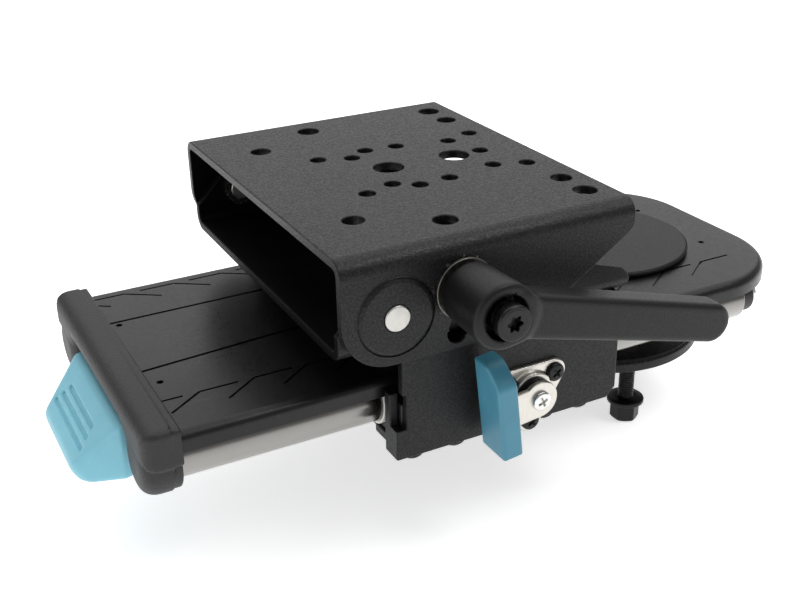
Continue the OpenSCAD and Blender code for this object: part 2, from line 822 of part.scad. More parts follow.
// Finger pad of the slide lock lever: a slab with a rounded top on its outer side
module slide_lever() {
    y0 = -66.7;
    y1 = -80;
    x0 = -20.6;
    thick = 7;
    z0 = -9.2;
    z1 = 22.7;
    top_r = 11;
    color("skyblue") lever_frame() difference() {
        hull() {
            for (x = [x0 + 1, x0 + thick - 1], z = [z0 + 1, z1 - 1])
                translate([x, y0 - 1, z]) sphere(r = 1, $fn = 24);
            translate([x0 + 1, y1 + 1, z0 + 1]) sphere(r = 1, $fn = 24);
            translate([x0 + thick - 1, y1 + 1, z0 + 3.4]) sphere(r = 1, $fn = 24);
            translate([x0 + 0.4, y1 + top_r, z1 - top_r]) rotate([0, 90, 0])
                cylinder(r = top_r, h = thick - 0.8, $fn = 32);
        }
        block([-17.05, -70.03, -6.4], [0, -68.47, 5.1]);
        block([-40, y0, -20], [0, y0 + 20, 40]);
    }
}

base_plate();
base_bolts();
pivot_post();
post_screw();
brake_drum();
thrust_washer();
hub_disc();
arm_cover();
hub_housing();
hub_bushing();
front_block();
end_block();
end_cap();
near_rod();
far_rod();
rod_screws();
spring_bracket();
pivot_handle();
pull_rod();
brake_shoe();
release_spring();
carriage_bracket();
near_bearing_block();
far_bearing_block();
rod_bushings();
bearing_screws();
clevis_base();
clevis_screws();
clevis_nuts();
near_pivot_pin();
far_pivot_pin();
pin_washers();
clamp_stud();
clamp_washer();
head_channel();
clamp_insert();
clamp_screw();
clamp_handle();
handle_spring();
lock_flange();
lock_flange_screws();
lock_plunger();
lock_spring();
lever_shaft();
lever_plate();
lever_screw();
slide_lever();
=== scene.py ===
"""Looks of the pivoting slide arm: materials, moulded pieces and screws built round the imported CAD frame."""

import math
from itertools import product

import bpy
import numpy as np
from mathutils import Matrix, Vector


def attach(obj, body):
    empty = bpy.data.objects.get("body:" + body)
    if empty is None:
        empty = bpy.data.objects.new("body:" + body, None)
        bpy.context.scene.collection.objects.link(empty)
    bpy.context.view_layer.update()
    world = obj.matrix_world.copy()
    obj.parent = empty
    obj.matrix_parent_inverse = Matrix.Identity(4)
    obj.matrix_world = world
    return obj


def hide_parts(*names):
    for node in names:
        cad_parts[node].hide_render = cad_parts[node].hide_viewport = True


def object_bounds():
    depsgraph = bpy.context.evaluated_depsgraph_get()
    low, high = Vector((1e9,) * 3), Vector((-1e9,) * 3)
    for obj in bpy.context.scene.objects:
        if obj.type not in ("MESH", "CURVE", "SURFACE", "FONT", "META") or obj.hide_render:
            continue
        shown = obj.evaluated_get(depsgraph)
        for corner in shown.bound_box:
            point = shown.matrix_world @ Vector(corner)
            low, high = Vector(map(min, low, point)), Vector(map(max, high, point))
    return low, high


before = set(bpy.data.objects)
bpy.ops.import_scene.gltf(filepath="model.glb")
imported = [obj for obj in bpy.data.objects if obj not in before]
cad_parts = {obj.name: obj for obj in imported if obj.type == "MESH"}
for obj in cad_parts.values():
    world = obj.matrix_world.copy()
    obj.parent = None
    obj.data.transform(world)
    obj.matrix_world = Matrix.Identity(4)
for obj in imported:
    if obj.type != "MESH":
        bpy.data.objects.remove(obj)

cad_low, cad_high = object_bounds()
scene = bpy.context.scene
MM = 0.001

# Driving places and sizes in the row frame, in millimetres. The object's near side faces -Y.
STUD = (-99.8, 66.5)             # (x, z) of the clamp's stud, which lies along Y
LOCK = (-73.7, 22.8)             # (x, z) of the slide lock's shaft, which lies along Y
ROD = (41.5, 22.8)               # (y, z) of the rods
WALL_Y = 62.4                    # outer face of the carriage bracket's side wall
CAP_X = (-196.5, -184.5)         # outer and inner face of the soft cap
CAP_HALF_Y = 54.7
CAP_LOBE_R = 11                  # radius of the cap's lobes round the rods' ends
GRIP_X = (-211.7, -193.9)        # outer and inner end of the pull handle
GRIP_HALF_Y = 28
PAD_Y = (-80, -66.7)             # the lever's finger pad, near to far
LEVER_Y = (-70, -68.5)           # the lever's flat plate
FLANGE_Y, BOSS_Y = -64.2, -66.2  # near faces of the lock's flange and of its boss
HUB_Y = (-89.4, -69.4)           # the clamp lever's hub
SCREW_TOP_Y = -93.6              # flat top of the clamp's screw
HANDLE_DROP = math.radians(15.6)
LEVER_LEAN = math.radians(6.5)
LEVER_BAR = (-0.65, 5.65)        # middle and half width of the lever's bar, across it
FLANGE_SCREW_R, FLANGE_SCREW_DEGREES = 10.3, (30, 150, 270)
BASE_BOLT_R, BASE_BOLT_DEGREES = 29.2, (-100, 20, 140)
BOLT_END_Z, BOLT_TOP_Z = -25.4, 4.5


# ---------- materials ----------


class Look:
    """A procedural material: a Principled shader and short helpers for the nodes that feed it."""

    def __init__(self, name, **sockets):
        self.material = bpy.data.materials.new(name)
        self.material.use_nodes = True
        self.nodes = self.material.node_tree.nodes
        self.shader = self.nodes["Principled BSDF"]
        for key, value in sockets.items():
            self.shader.inputs[key.replace("_", " ")].default_value = value
        self.position = self.nodes.new("ShaderNodeTexCoord").outputs["Object"]

    def put(self, socket, value):
        """Links a node's output to the socket, or sets a plain value."""
        if hasattr(value, "is_output"):
            self.material.node_tree.links.new(value, socket)
        else:
            socket.default_value = value

    def to(self, name, value):
        self.put(self.shader.inputs[name], value)

    def split(self):
        """The object's own X, Y and Z at the shaded point, in metres."""
        node = self.nodes.new("ShaderNodeSeparateXYZ")
        self.put(node.inputs[0], self.position)
        return tuple(node.outputs)

    def noise(self, scale, detail=3.0, rough=0.55, stretch=(1, 1, 1), kind="ShaderNodeTexNoise"):
        mapping = self.nodes.new("ShaderNodeMapping")
        mapping.inputs["Scale"].default_value = stretch
        self.put(mapping.inputs["Vector"], self.position)
        node = self.nodes.new(kind)
        node.inputs["Scale"].default_value = scale
        if kind == "ShaderNodeTexNoise":
            node.inputs["Detail"].default_value = detail
            node.inputs["Roughness"].default_value = rough
        self.put(node.inputs["Vector"], mapping.outputs["Vector"])
        return node.outputs[0]

    def spread(self, value, a, b, low, high):
        """value from a..b becomes low..high."""
        node = self.nodes.new("ShaderNodeMapRange")
        self.put(node.inputs["Value"], value)
        for key, number in zip(("From Min", "From Max", "To Min", "To Max"), (a, b, low, high)):
            node.inputs[key].default_value = number
        return node.outputs["Result"]

    def swing(self, noise, low, high):
        """The usual range of a noise, 0.3 to 0.7, becomes low..high."""
        return self.spread(noise, 0.3, 0.7, low, high)

    def sum(self, a, b, how="ADD"):
        node = self.nodes.new("ShaderNodeMath")
        node.operation = how
        self.put(node.inputs[0], a)
        self.put(node.inputs[1], b)
        return node.outputs[0]

    def product(self, a, b):
        return self.sum(a, b, "MULTIPLY")

    def blend(self, factor, a, b):
        node = self.nodes.new("ShaderNodeMix")
        node.data_type = "RGBA"
        self.put(node.inputs["Factor"], factor)
        self.put(node.inputs["A"], a)
        self.put(node.inputs["B"], b)
        return node.outputs["Result"]

    def bump(self, height, depth_mm, strength=1.0, under=None):
        node = self.nodes.new("ShaderNodeBump")
        node.inputs["Distance"].default_value = depth_mm * MM
        node.inputs["Strength"].default_value = strength
        self.put(node.inputs["Height"], height)
        if under is not None:
            self.put(node.inputs["Normal"], under)
        return node.outputs["Normal"]

    def ring(self, centre, low, high, soft):
        """1 between two radii (mm) round a line along Y through centre, on the near side, with soft edges."""
        x, y, z = self.split()
        dx = self.sum(x, -centre[0] * MM)
        dz = self.sum(z, -centre[1] * MM)
        r = self.sum(self.sum(self.product(dx, dx), self.product(dz, dz)), 0.5, "POWER")
        near = self.spread(y, 0, MM, 1, 0)
        inner = self.product(self.spread(r, (low - soft) * MM, low * MM, 0, 1), near)
        outer = self.spread(r, high * MM, (high + soft) * MM, 1, 0)
        return self.product(inner, outer)


def grey(value, tint=(1.0, 1.0, 1.0)):
    return (value * tint[0], value * tint[1], value * tint[2], 1.0)


def powder(name, dark, light, grain=1150, depth=0.16, rough=(0.40, 0.62), worn=None, shaded_channel=None):
    """Fine-textured black powder coat: gritty bumps, a mottled grey bloom and thin scuffs.

    worn is the centre and the two radii of a ring rubbed down to metal. The last argument is the half width
    and the top of a channel whose inside is painted with shade: a darker colour and less specular.
    """
    specular, tint = 0.27, (0.93, 0.95, 1.10)
    k = Look(name, Specular_IOR_Level=specular)
    grit = k.noise(grain, 3.0, 0.6)
    bloom = k.noise(38, 4.0, 0.6)
    scuff = k.noise(60, 5.0, 0.7, (1, 9, 5))
    colour = k.blend(k.spread(grit, 0.44, 0.62, 0, 1), grey(dark, tint), grey(light, tint))
    colour = k.blend(k.spread(bloom, 0.45, 0.75, 0, 0.3), colour, grey(light, (1.0, 1.0, 0.99)))
    if worn:
        flaked = k.spread(k.noise(600, 5.0, 0.7), 0.58, 0.62, 0, 1)
        bare = k.product(k.ring(*worn, soft=0.6), flaked)
        colour = k.blend(bare, colour, grey(0.30, (1.0, 0.95, 0.88)))
        k.to("Metallic", bare)
    # Painted shade: inside the channel the colour is darkened and the specular lowered, standing for the shade
    # there.
    if shaded_channel:
        half, top = shaded_channel
        _, y, z = k.split()
        below = k.spread(z, (top - 0.2) * MM, top * MM, 1, 0)
        between = k.spread(k.product(y, y), ((half - 0.3) * MM) ** 2, (half * MM) ** 2, 1, 0)
        inside = k.product(below, between)
        colour = k.blend(inside, colour, grey(dark * 0.5, tint))
        k.to("Specular IOR Level", k.spread(inside, 0, 1, specular, 0.10))
    k.to("Base Color", colour)
    k.to("Roughness", k.sum(k.swing(grit, rough[1], rough[0]), k.spread(scuff, 0.62, 0.75, 0, -0.08)))
    k.to("Normal", k.bump(grit, depth, 0.8, k.bump(k.noise(grain * 0.6, 2.0), depth, 0.12)))
    return k.material


def satin(name, dark, light):
    """Smooth satin paint of the arm's cover: soft sheen, faint long scratches and dust."""
    k = Look(name, Specular_IOR_Level=0.30, Coat_Weight=0.03, Coat_Roughness=0.2)
    fine = k.noise(900, 3.0)
    bloom = k.noise(16, 3.0, 0.6)
    scratch = k.spread(k.noise(220, 3.0, 0.6, (0.03, 1.0, 1.0)), 0.665, 0.70, 0, 1)
    dust = k.spread(k.noise(520, 1.0), 0.76, 0.80, 0, 0.3)
    marks = k.sum(k.product(scratch, 0.25), dust, "MAXIMUM")
    paint = k.blend(bloom, grey(dark, (0.98, 0.98, 1.02)), grey(light))
    k.to("Base Color", k.blend(marks, paint, grey(0.05)))
    k.to("Roughness", k.sum(k.swing(fine, 0.28, 0.40), k.swing(bloom, 0.03, -0.03)))
    k.to("Normal", k.bump(fine, 0.045, 0.7, k.bump(scratch, 0.02, 0.4)))
    return k.material


def moulded(name, colour, shade, grain=900, depth=0.05, rough=(0.4, 0.55), sheen=0.0, through=0.0):
    """Moulded plastic: leather-like grain, slight colour drift, rubbed lighter patches."""
    k = Look(name, Specular_IOR_Level=0.45, Sheen_Weight=sheen, Subsurface_Weight=through,
             Subsurface_Scale=0.002)
    cells = k.noise(grain, kind="ShaderNodeTexVoronoi")
    fine = k.noise(grain * 2.2, 3.0)
    drift = k.swing(k.noise(45, 4.0, 0.6), 0, 1)
    rub = k.spread(k.noise(120, 5.0, 0.7), 0.60, 0.72, 0, 0.25)
    rubbed = tuple(min(1, c * 1.35 + 0.01) for c in colour) + (1,)
    k.to("Base Color", k.blend(rub, k.blend(drift, (*shade, 1), (*colour, 1)), rubbed))
    k.to("Roughness", k.swing(fine, *rough))
    k.to("Normal", k.bump(cells, depth, 0.6, k.bump(fine, depth * 0.6, 0.5)))
    return k.material


def metal(name, tone, tint, rough, lines=(1, 1, 1), scale=900, depth=0.02, tarnish=0.05, nicks=0.01,
          painted_cover_reflection=None):
    """Plain or brushed metal: grinding lines across the short axis of lines, stains and fine nicks.

    The last argument is the two levels between which the metal is painted dark on its upper side: a painted
    reflection of the dark cover above a rod.
    """
    k = Look(name, Metallic=1.0)
    brush = k.noise(scale, 3.0, 0.6, lines)
    stain = k.noise(70, 5.0, 0.65)
    nick = k.spread(k.noise(500, 2.0), 0.76, 0.80, 0, 1)
    base = k.blend(k.swing(brush, 0, 1), grey(tone * 0.92, tint), grey(tone, tint))
    base = k.blend(k.spread(stain, 0.52, 0.72, 0, tarnish), base, grey(tone * 0.35, (1.0, 0.9, 0.75)))
    # Painted reflection: the upper side is blended to a warm dark grey, standing for the dark cover that it
    # reflects.
    if painted_cover_reflection:
        _, _, z = k.split()
        upper = k.spread(z, painted_cover_reflection[0] * MM, painted_cover_reflection[1] * MM, 0, 1)
        base = k.blend(upper, base, grey(tone * 0.16, (1.0, 0.95, 0.88)))
    k.to("Base Color", base)
    k.to("Roughness", k.sum(k.swing(brush, *rough), k.spread(stain, 0.5, 0.8, 0, 0.06)))
    k.to("Normal", k.bump(brush, depth, 0.6, k.bump(nick, nicks, 0.4)))
    return k.material


LOOKS = {
    "powder": powder("powder_black", 0.0008, 0.0105, 1350, 0.15, (0.34, 0.54)),
    "head": powder("powder_head", 0.0008, 0.0130, 1350, 0.17, (0.32, 0.54),
                   worn=(STUD, 8.9, 9.9), shaded_channel=(63.2, 79.2)),
    # Painted shade: the clevis base, inside the head channel, gets a darker copy of the powder coat, with more
    # painted shade inside its channel.
    "inner": powder("powder_inner_painted_shade", 0.0015, 0.006, 1700, 0.12, shaded_channel=(62, 79)),
    "disc": powder("powder_disc", 0.003, 0.010, 2000, 0.05, (0.42, 0.54)),
    "casting": powder("powder_casting", 0.0015, 0.0045, 1800, 0.09, (0.38, 0.5)),
    "cover": satin("satin_cover", 0.0022, 0.0055),
    "cap": moulded("soft_grey_plastic", (0.0125, 0.0121, 0.0133), (0.0075, 0.0073, 0.0083),
                   1100, 0.12, (0.46, 0.62)),
    "black_plastic": moulded("black_plastic", (0.008, 0.008, 0.009), (0.005, 0.005, 0.006), 1200),
    "blue": moulded("blue_plastic", (0.195, 0.500, 0.610), (0.168, 0.445, 0.550),
                    1300, 0.02, (0.36, 0.48), sheen=0.05, through=0.06),
    # Painted shade: a darker copy of the blue plastic for the lever's finger pad, whose faces lie in shade.
    "blue_painted_shade": moulded("blue_plastic_painted_shade", (0.052, 0.235, 0.330), (0.040, 0.185, 0.270),
                        1300, 0.02, (0.34, 0.46), sheen=0.05, through=0.04),
    "nylon": moulded("white_nylon", (0.72, 0.71, 0.67), (0.62, 0.61, 0.57),
                     1400, 0.02, (0.38, 0.5), through=0.1),
    # The rods' upper side gets a painted reflection of the dark cover above them.
    "rod": metal("ground_stainless", 0.40, (1.0, 0.98, 0.93), (0.22, 0.24), scale=2400, depth=0.0003,
                 tarnish=0.01, nicks=0.0002, painted_cover_reflection=(18, 29.5)),
    "pin": metal("turned_steel", 0.52, (1.0, 0.98, 0.93), (0.30, 0.46), scale=1600, depth=0.03, tarnish=0.3),
    "zinc": metal("bright_zinc", 0.70, (1.0, 0.99, 0.96), (0.14, 0.28), scale=800, depth=0.012, tarnish=0.1),
    "stamped": metal("stamped_nickel", 0.60, (1.0, 0.965, 0.89), (0.26, 0.38), lines=(1.0, 1.0, 0.12),
                     scale=1500, depth=0.012, tarnish=0.12),
    "black_steel": metal("black_oxide_steel", 0.030, (1, 1, 1.03), (0.28, 0.42), scale=1100),
    "worn_steel": metal("worn_steel", 0.16, (1.0, 0.96, 0.88), (0.30, 0.5), depth=0.03, tarnish=0.6),
    "bronze": metal("sintered_bronze", 0.5, (1.0, 0.68, 0.40), (0.34, 0.5), scale=1200, depth=0.03,
                    tarnish=0.4),
}

NODE_LOOKS = {
    "head": ["head_channel"],
    "powder": ["base_plate", "carriage_bracket", "hub_housing"],
    "inner": ["clevis_base"],
    "disc": ["hub_disc"],
    "cover": ["arm_cover"],
    "black_plastic": ["end_block", "front_block", "near_bearing_block", "far_bearing_block"],
    "rod": ["near_rod", "far_rod"],
    "pin": ["near_pivot_pin", "far_pivot_pin", "pivot_post", "clamp_stud"],
    "zinc": ["post_screw", "brake_drum", "rod_screws", "spring_bracket", "pull_rod", "clevis_screws",
             "clevis_nuts", "pin_washers", "lock_plunger", "release_spring", "lock_spring"],
    "black_steel": ["bearing_screws", "brake_shoe", "lever_shaft", "clamp_insert", "handle_spring"],
    "worn_steel": ["clamp_washer"],
    "nylon": ["thrust_washer", "rod_bushings"],
    "bronze": ["hub_bushing"],
}

# The CAD nodes whose edges are rounded, by the width of the rounding in millimetres
EDGES = {
    0.25: ["clamp_washer"],
    0.3: ["clevis_screws", "clevis_nuts", "rod_bushings"],
    0.4: ["hub_disc", "bearing_screws", "near_bearing_block", "far_bearing_block"],
    0.45: ["head_channel", "carriage_bracket", "clevis_base"],
    0.5: ["near_pivot_pin", "far_pivot_pin", "front_block"],
    0.8: ["base_plate", "end_block", "near_rod", "far_rod"],
}


def soften(obj, width):
    """Rounds a CAD node's sharp edges with modifiers, so its own mesh stays as packed."""
    weld = obj.modifiers.new("weld", "WELD")
    weld.merge_threshold = 0.002 * MM
    flat = obj.modifiers.new("flat", "DECIMATE")
    flat.decimate_type = "DISSOLVE"
    flat.angle_limit = math.radians(0.6)
    edge = obj.modifiers.new("edge", "BEVEL")
    edge.width = width * MM
    edge.segments = 3
    edge.limit_method = "ANGLE"
    edge.angle_limit = math.radians(38)
    edge.use_clamp_overlap = False
    edge.miter_outer = "MITER_ARC"
    edge.harden_normals = True
    normals = obj.modifiers.new("normals", "WEIGHTED_NORMAL")
    normals.keep_sharp = True


for look, names in NODE_LOOKS.items():
    for name in names:
        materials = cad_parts[name].data.materials
        materials.clear()
        materials.append(LOOKS[look])
for width, names in EDGES.items():
    for name in names:
        soften(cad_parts[name], width)


# ---------- moulded and turned pieces, as smooth implicit surfaces ----------


def meet(a, b, k):
    """The part inside both shapes, with an edge rounded over about k."""
    h = np.clip(0.5 - 0.5 * (b - a) / k, 0, 1)
    return b + (a - b) * h + k * h * (1 - h)


def join(a, b, k):
    """Both shapes together, with a fillet of about k between them."""
    return -meet(-a, -b, k)


def cut(a, b, k=0.3):
    """Shape a without shape b."""
    return meet(a, -b, k)


def box2(u, v, half_u, half_v, r=0.0):
    """Distance to a rounded rectangle about the origin."""
    qu, qv = np.abs(u) - half_u + r, np.abs(v) - half_v + r
    return np.hypot(np.maximum(qu, 0), np.maximum(qv, 0)) + np.minimum(np.maximum(qu, qv), 0) - r


def outline2(u, v, corners):
    """Distance to a closed outline with these corners, negative inside."""
    far = np.full(np.shape(u), 1e9)
    sign = np.ones(np.shape(u))
    for (au, av), (bu, bv) in zip(corners, corners[1:] + corners[:1]):
        eu, ev = bu - au, bv - av
        t = np.clip(((u - au) * eu + (v - av) * ev) / (eu * eu + ev * ev), 0, 1)
        far = np.minimum(far, np.hypot(u - au - t * eu, v - av - t * ev))
        above, below, turn = v >= av, v < bv, eu * (v - av) > ev * (u - au)
        sign = np.where((above & below & turn) | (~above & ~below & ~turn), -sign, sign)
    return sign * far


def carve(name, shape, low, high, step, body, look, slot, stands_for=()):
    """Meshes the zero surface of shape(x, y, z), in millimetres, and puts it on a body.

    Each grid cell that the surface crosses gets one point, which is drawn onto the surface along its slope.
    Each grid edge that the surface crosses gets one quad, between the four cells round it.
    """
    pulls, reach, eps, least_slope = 7, step * 0.9, step * 0.08, 0.2
    axes = [np.arange(low[k] - 2 * step, high[k] + 2.5 * step, step) for k in range(3)]
    inside = shape(*np.meshgrid(*axes, indexing="ij")) < 0
    cells = np.array(inside.shape) - 1
    count = sum(inside[i:cells[0] + i, j:cells[1] + j, k:cells[2] + k].astype(int)
                for i, j, k in product((0, 1), repeat=3))
    mixed = (count > 0) & (count < 8)
    index = np.full(mixed.shape, -1)
    index[mixed] = np.arange(mixed.sum())
    start = np.argwhere(mixed) * step + step / 2 + [a[0] for a in axes]
    points = start.copy()
    for _ in range(pulls):
        value = shape(*points.T)
        slope = np.stack([(shape(*(points + shift).T) - shape(*(points - shift).T)) / (2 * eps)
                          for shift in eps * np.eye(3)], -1)
        points = points - (value / np.maximum((slope * slope).sum(-1), least_slope))[:, None] * slope
        points = np.clip(points, start - reach, start + reach)
    quads = []
    for axis in range(3):
        u, v = [k for k in range(3) if k != axis]
        near = np.moveaxis(inside, (axis, u, v), (0, 1, 2))
        cell = np.moveaxis(index, (axis, u, v), (0, 1, 2))
        a, b = near[:-1, 1:-1, 1:-1], near[1:, 1:-1, 1:-1]
        ring = np.stack([cell[:, :-1, :-1], cell[:, 1:, :-1], cell[:, 1:, 1:], cell[:, :-1, 1:]], -1)
        out, back = a & ~b, b & ~a
        if axis == 1:
            out, back = back, out
        quads += [ring[out], ring[back][:, ::-1]]
    quads = np.concatenate(quads)
    mesh = bpy.data.meshes.new(name)
    mesh.from_pydata((points * MM).tolist(), [], quads.tolist())
    mesh.polygons.foreach_set("use_smooth", [True] * len(mesh.polygons))
    mesh.materials.append(LOOKS[look])
    mesh.update()
    return place(name, mesh, body, stands_for)


def place(name, mesh, body, stands_for=(), at=Matrix.Identity(4)):
    """Puts a mesh on a body, in place of the CAD nodes that it stands for."""
    obj = bpy.data.objects.new(name, mesh)
    scene.collection.objects.link(obj)
    obj.matrix_world = at
    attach(obj, body)
    if stands_for:
        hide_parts(*stands_for)
    return obj

def turned(x, z, centre, angle):
    """x and z from the centre, along axes turned by the angle."""
    dx, dz = x - centre[0], z - centre[1]
    c, s = math.cos(angle), math.sin(angle)
    return dx * c + dz * s, -dx * s + dz * c


def on_circle(radius, degrees, centre=(0, 0)):
    angles = [math.radians(d) for d in degrees]
    return [(centre[0] + radius * math.cos(a), centre[1] + radius * math.sin(a)) for a in angles]


def end_cap(x, y, z):
    """Soft cap: a bar over two lobes, a notch for the pull handle, a lip along its inner edge."""
    wall, floor, lip_x, lip_height = 2.4, 3.5, -187.4, 0.45
    lobe = np.hypot(np.abs(y) - ROD[0], z - ROD[1])
    bar = box2(y, z - 31.2, CAP_HALF_Y, 6.8, 2.2)
    web = box2(y, z - 23.2, 42, 5.4, 1.0)
    notch = box2(y, z - 8.3, 31, 20.0, 2.0)
    outline = join(join(bar, lobe - CAP_LOBE_R, 1.0), web, 1.5)
    outline = cut(outline, notch, 1.6) + np.clip((x - lip_x) / 0.4, 0, 1) * lip_height
    body = meet(meet(outline, CAP_X[0] - x, 6.0), x - CAP_X[1], 0.7)
    below_bar = np.minimum(lobe - (CAP_LOBE_R - wall), 26.5 - z)
    hollow = np.maximum(box2(y, z - 22.7, 50.8, 10.3), below_bar)
    hollow = np.minimum(hollow, box2(y, z - 14, 29.3, 18))
    return cut(body, np.maximum(hollow, CAP_X[0] + floor - x), 0.5)


def pull_handle(x, y, z):
    """Wedge with a slanted grip face, tapered sides and three grip grooves."""
    face_x, face_z, top_z, half_root = -204.1, 19.35, 27, math.sqrt(0.5)
    dx, dz = x - face_x, z - face_z
    up, along = (dz - dx) * half_root, (dx + dz) * half_root
    taper = (np.abs(y) - 27.9) * 0.861 - (x - CAP_X[0]) * 0.51
    nose = -(x - GRIP_X[0]) * 0.838 - (z - 11.7) * 0.545
    under = -(z - 6) * 0.984 + (x + 208) * 0.176
    body = meet(up, z - top_z, 1.2)
    body = meet(body, np.maximum(taper, np.abs(y) - GRIP_HALF_Y), 2.6)
    body = meet(body, nose, 3.4)
    body = meet(body, under, 2.4)
    body = meet(body, x - GRIP_X[1], 0.6)
    spacing, half_length, shortening, half_width, depth = 3.4, 15.5, 1.5, 0.8, 0.75
    for k in (-1, 0, 1):
        past_end = np.maximum(np.abs(y) - half_length + shortening * k, 0)
        groove = np.hypot(past_end, along - spacing * k) - half_width
        body = cut(body, np.maximum(groove, -up - depth), 0.3)
    return body


def slide_pad(x, y, z):
    """Finger pad: a slab leaning with the lever, its outer top corner cut back, a slot for the lever."""
    clear = (0.03, 0.1)
    u, w = turned(x, z, LOCK, LEVER_LEAN)
    slab = box2(u + 17.1, w - 6.75, 3.5, 15.95, 0.9)
    corner = -(y + 75.6) * 0.66 + (w - 20.9) * 0.75
    front = -(y - PAD_Y[0]) * 0.36 - (u + 20.6) * 0.933 - 0.9
    body = meet(meet(slab, PAD_Y[0] - y, 1.2), y - PAD_Y[1], 1.2)
    body = meet(meet(body, corner, 1.6), front, 1.0)
    slot = np.maximum(box2(u + 12, w - LEVER_BAR[0], 5.05, LEVER_BAR[1] + clear[1]),
                      np.abs(y - sum(LEVER_Y) / 2) - (LEVER_Y[1] - LEVER_Y[0]) / 2 - clear[0])
    return cut(body, slot)


def lock_flange(x, y, z):
    """Rounded three-cornered flange with a turned boss round the lever's shaft."""
    corner_r, boss_r, screw_hole_r, shaft_hole_r = 4.3, 7.6, 3.25, 3.3
    u, w = x - LOCK[0], z - LOCK[1]
    r = np.hypot(u, w)
    corners = on_circle(FLANGE_SCREW_R, FLANGE_SCREW_DEGREES)
    plate = meet(meet(outline2(u, w, corners) - corner_r, FLANGE_Y - y, 0.5), y + WALL_Y, 0.1)
    boss = meet(meet(r - boss_r, BOSS_Y - y, 0.9), y + WALL_Y, 0.1)
    body = join(plate, boss, 0.6)
    for cu, cw in corners:
        body = cut(body, np.maximum(np.hypot(u - cu, w - cw) - screw_hole_r, y - FLANGE_Y), 0.15)
    return cut(body, r - shaft_hole_r, 0.2)


def lever_plate(x, y, z):
    """Flat lever: a disc round the screw that runs straight into the finger pad."""
    disc_r, hole_r, half_length = 6.3, 1.55, 8.5
    u, w = turned(x, z, LOCK, LEVER_LEAN)
    r = np.hypot(u, w)
    bar = box2(u + half_length, w - LEVER_BAR[0], half_length, LEVER_BAR[1], 0.2)
    flat = cut(np.minimum(r - disc_r, bar), r - hole_r, 0.1)
    return meet(meet(flat, LEVER_Y[0] - y, 0.35), y - LEVER_Y[1], 0.2)


def clamp_handle(x, y, z):
    """Die-cast clamp lever: a round hub, a bar blended into it, recesses for the screw and the insert."""
    hub_r, flare, flare_y, flare_length = 9.5, 0.7, -68.4, 20.2
    bar_start, bar_length, bar_r, bar_taper = 6, 74.6, 6.9, 0.5
    bar_near, bar_far, bar_lean = -89.1, -79.2, 0.6
    screw_recess_r, screw_recess_y, insert_recess_r, insert_recess_y, bore_r = 6.85, -82.5, 6.55, -78.0, 2.8
    u, w = turned(x, z, STUD, -HANDLE_DROP)
    r = np.hypot(u, w)
    hub = r - (hub_r + flare * np.clip((flare_y - y) / flare_length, 0, 1))
    hub = meet(meet(hub, HUB_Y[0] - y, 2.0), y - HUB_Y[1], 0.8)
    t = np.clip((u - bar_start) / bar_length, 0, 1)
    bar = np.hypot(u - bar_start - bar_length * t, w) - (bar_r - bar_taper * t)
    bar = meet(meet(bar, bar_near - y, 2.4), y - bar_far + bar_lean * t, 1.6)
    body = join(hub, bar, 2.2)
    body = cut(body, np.maximum(r - screw_recess_r, y - screw_recess_y), 0.5)
    body = cut(body, np.maximum(r - insert_recess_r, insert_recess_y - y), 0.3)
    return cut(body, r - bore_r, 0.2)


def round_head(r, top, radius, length, dome):
    """Head of a screw whose top face is at top = 0, with the rim rounded over dome."""
    return meet(meet(r - radius, top, dome), -top - length, 0.3)


def clamp_screw(x, y, z):
    """Flat-topped screw with a ring groove and a six-lobed socket."""
    head_r, head_length, shank_r, shank_y = 5.4, 3.6, 2.5, (-90, -73.8)
    groove_r, groove_size = 4.55, 0.12
    socket_r, socket_wave, socket_turn, socket_depth = 2.15, 0.42, 0.6, 2.2
    u, w = x - STUD[0], z - STUD[1]
    r, a = np.hypot(u, w), np.arctan2(w, u)
    top = SCREW_TOP_Y - y
    groove = np.maximum(np.abs(r - groove_r) - groove_size, -top - groove_size)
    socket = r - (socket_r + socket_wave * np.cos(6 * a + socket_turn))
    socket = np.maximum(socket, -top - socket_depth)
    shank = np.maximum(r - shank_r, np.maximum(y - shank_y[1], shank_y[0] - y))
    head = round_head(r, top, head_r, head_length, 0.9)
    return np.minimum(cut(cut(head, groove, 0.15), socket, 0.18), shank)


def cross_socket(u, w, top, turn, reach, width, depth):
    """Cross recess that narrows towards its bottom."""
    c, s = math.cos(turn), math.sin(turn)
    p, q = np.abs(u * c + w * s), np.abs(-u * s + w * c)
    lean = np.clip(-top / depth, 0, 1)
    long, thin = reach * (1 - 0.55 * lean), width * (1 - 0.3 * lean)
    arms = np.minimum(np.maximum(p - long, q - thin), np.maximum(q - long, p - thin))
    return np.maximum(np.minimum(arms, np.hypot(p, q) - width * 1.5), -top - depth)


def lever_screw(x, y, z):
    """Pan head with a cross recess, its top slightly crowned."""
    top_y, crown, head_r, head_length = -71.6, 0.035, 3.3, 1.62
    shank_r, shank_y, shank_half = 1.52, -69.2, 0.9
    u, w = x - LOCK[0], z - LOCK[1]
    r = np.hypot(u, w)
    top = top_y - y + crown * r * r
    recess = cross_socket(u, w, top, math.radians(25), reach=1.85, width=0.42, depth=1.2)
    head = cut(round_head(r, top, head_r, head_length, 0.8), recess, 0.14)
    return np.minimum(head, np.maximum(r - shank_r, np.abs(y - shank_y) - shank_half))


def flange_screw(x, y, z):
    """Black pan head of the lock flange, about the origin, its top towards -Y."""
    top_y, crown, head_r, head_length, shank_r, shank_half = -3.5, 0.05, 3.2, 1.72, 1.58, 1.1
    r = np.hypot(x, z)
    top = top_y - y + crown * r * r
    recess = cross_socket(x, z, top, math.radians(40), reach=1.9, width=0.42, depth=1.1)
    head = cut(round_head(r, top, head_r, head_length, 0.7), recess, 0.14)
    return np.minimum(head, np.maximum(r - shank_r, np.abs(y + shank_half) - shank_half))


